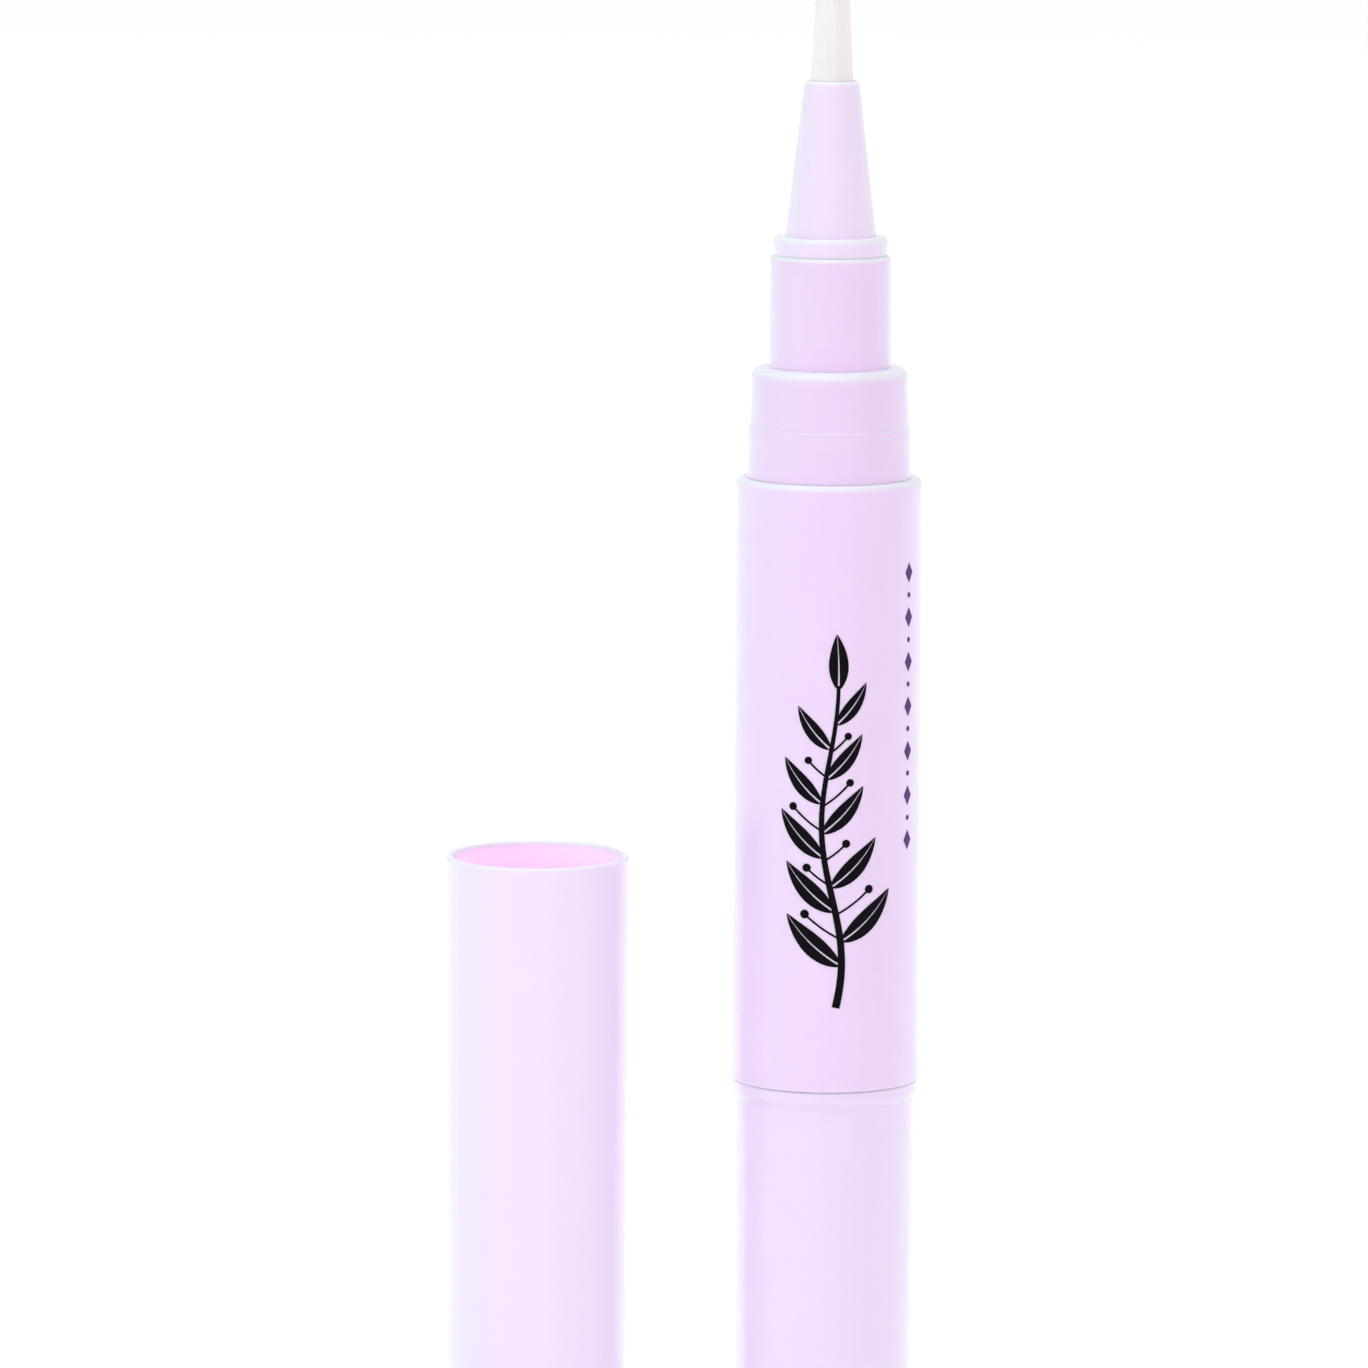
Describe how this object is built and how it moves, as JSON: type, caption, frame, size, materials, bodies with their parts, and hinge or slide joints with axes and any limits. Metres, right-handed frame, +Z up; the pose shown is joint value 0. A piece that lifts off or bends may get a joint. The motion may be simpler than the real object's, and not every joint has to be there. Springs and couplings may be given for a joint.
{
  "type": "nail oil pen",
  "caption": "Slim twist-up oil pen that stands on its flat tail, with a stepped neck, tapered nozzle and brush tip, a turning rear knob, and its round cap stood beside it.",
  "frame": {"origin": "centre of the pen's flat tail, on the surface that the pen stands on", "axes": "+Z up the pen's axis towards the brush, -X towards the cap that stands beside it"},
  "size_m": [0.0362, 0.0144, 0.1257],
  "materials": {
    "lilac_plastic": "opaque lilac polypropylene, moulded satin gloss",
    "white_plastic": "natural white acetal and polypropylene",
    "natural_plastic": "milky polyethylene and polypropylene, slightly waxy",
    "seal_rubber": "pale silicone",
    "filament": "off-white nylon filaments",
    "ink": "black screen-printing ink on the barrel"
  },
  "bodies": {
    "barrel": {"barrel": "lilac_plastic", "neck_collar": "lilac_plastic", "neck_seal": "seal_rubber", "nozzle": "lilac_plastic", "pipe_holder": "white_plastic", "feed_pipe": "natural_plastic", "brush": "filament", "screw_nut": "white_plastic"},
    "knob": {"knob": "lilac_plastic", "drive_sleeve": "white_plastic", "click_ring": "white_plastic"},
    "lead_screw": {"lead_screw": "white_plastic"},
    "piston": {"piston": "natural_plastic"},
    "cap": {"cap_shell": "lilac_plastic", "inner_cap": "natural_plastic"}
  },
  "joints": [
    {"name": "knob_twist", "type": "hinge", "parent": "barrel", "child": "knob", "pos_m": [0, 0, 0.018], "axis": [0, 0, 1], "range_deg": [0, 5040], "deforming": ["click_ring"]},
    {"name": "screw_feed", "type": "slide", "parent": "knob", "child": "lead_screw", "axis": [0, 0, 1], "range_m": [0, 0.028]},
    {"name": "piston_feed", "type": "slide", "parent": "barrel", "child": "piston", "axis": [0, 0, 1], "range_m": [0, 0.028]},
    {"name": "cap_lift", "type": "slide", "parent": "barrel", "child": "cap", "axis": [0, 0, 1], "range_m": [0, 0.0435]}
  ],
  "couplings": [
    {"joint": "screw_feed", "follows": "knob_twist", "m_per_rad": 0.00031831},
    {"joint": "piston_feed", "follows": "knob_twist", "m_per_rad": 0.00031831}
  ]
}
